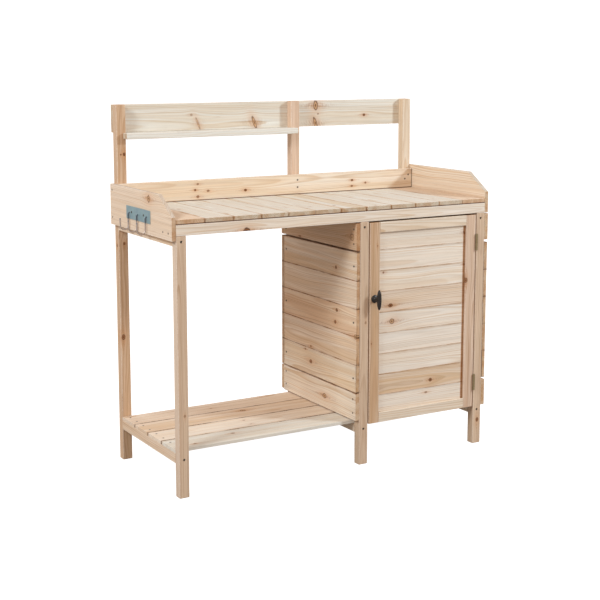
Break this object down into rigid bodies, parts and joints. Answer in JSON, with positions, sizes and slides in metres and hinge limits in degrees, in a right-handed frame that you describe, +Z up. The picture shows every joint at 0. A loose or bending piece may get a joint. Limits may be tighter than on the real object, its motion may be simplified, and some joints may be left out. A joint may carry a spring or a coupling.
{
  "type": "potting bench",
  "caption": "Softwood potting bench with a boarded tray worktop, low hutch with a narrow shelf, open lower shelf, hooks, and a cabinet with a hinged door.",
  "frame": {"origin": "middle of the bounding box, on the floor", "axes": "+X to the right along the bench, +Y from front to back, +Z up"},
  "size_m": [1.2375, 0.5317, 1.1998],
  "materials": {
    "leg_timber": "planed, unfinished",
    "rail_timber": "planed, unfinished",
    "worktop_timber": "planed, unfinished",
    "tray_timber": "planed, unfinished",
    "slat_timber": "planed, unfinished",
    "cabinet_timber": "planed, unfinished",
    "door_timber": "planed, unfinished",
    "knob_black": "satin black",
    "hinge_metal": "dull bronze",
    "hook_plate_metal": "blue-grey film over zinc",
    "hook_wire": "bright zinc",
    "catch_plastic": "matte",
    "strike_metal": "brushed"
  },
  "bodies": {
    "bench": {"backsplash": "tray_timber", "cabinet_back_board_bottom": "cabinet_timber", "cabinet_back_board_top": "cabinet_timber", "cabinet_back_panel": "cabinet_timber", "cabinet_left_board_bottom": "cabinet_timber", "cabinet_left_board_top": "cabinet_timber", "cabinet_left_panel": "cabinet_timber", "cabinet_right_board_bottom": "cabinet_timber", "cabinet_right_board_top": "cabinet_timber", "cabinet_right_panel": "cabinet_timber", "catch_magnet": "catch_plastic", "cross_rail_bottom_left": "rail_timber", "cross_rail_bottom_middle": "rail_timber", "cross_rail_bottom_right": "rail_timber", "cross_rail_top_left": "rail_timber", "cross_rail_top_middle": "rail_timber", "cross_rail_top_right": "rail_timber", "hinge_lower_leg_leaf": "hinge_metal", "hinge_upper_leg_leaf": "hinge_metal", "hook_1": "hook_wire", "hook_2": "hook_wire", "hook_3": "hook_wire", "hook_plate": "hook_plate_metal", "hutch_back_board": "tray_timber", "hutch_shelf": "tray_timber", "leg_front_left": "leg_timber", "leg_front_middle": "leg_timber", "leg_front_right": "leg_timber", "post_back_left": "leg_timber", "post_back_middle": "leg_timber", "post_back_right": "leg_timber", "rail_top_back": "rail_timber", "rail_top_front": "rail_timber", "shelf_slat_1": "slat_timber", "shelf_slat_2": "slat_timber", "shelf_slat_3": "slat_timber", "shelf_slat_4": "slat_timber", "side_board_left": "tray_timber", "side_board_right": "tray_timber", "worktop_board_01": "worktop_timber", "worktop_board_02": "worktop_timber", "worktop_board_03": "worktop_timber", "worktop_board_04": "worktop_timber", "worktop_board_05": "worktop_timber", "worktop_board_06": "worktop_timber", "worktop_board_07": "worktop_timber", "worktop_board_08": "worktop_timber", "worktop_board_09": "worktop_timber", "worktop_board_10": "worktop_timber", "worktop_board_11": "worktop_timber", "worktop_board_12": "worktop_timber"},
    "door": {"catch_strike_plate": "strike_metal", "door_knob": "knob_black", "door_panel": "door_timber", "door_rail_bottom": "door_timber", "door_rail_top": "door_timber", "door_stile_left": "door_timber", "door_stile_right": "door_timber", "hinge_lower_door_leaf": "hinge_metal", "hinge_upper_door_leaf": "hinge_metal"}
  },
  "joints": [
    {"name": "door_hinge", "type": "hinge", "parent": "bench", "child": "door", "pos_m": [0.56785, -0.2353, 0.4765], "axis": [0, 0, 1], "range_deg": [0, 170]}
  ]
}
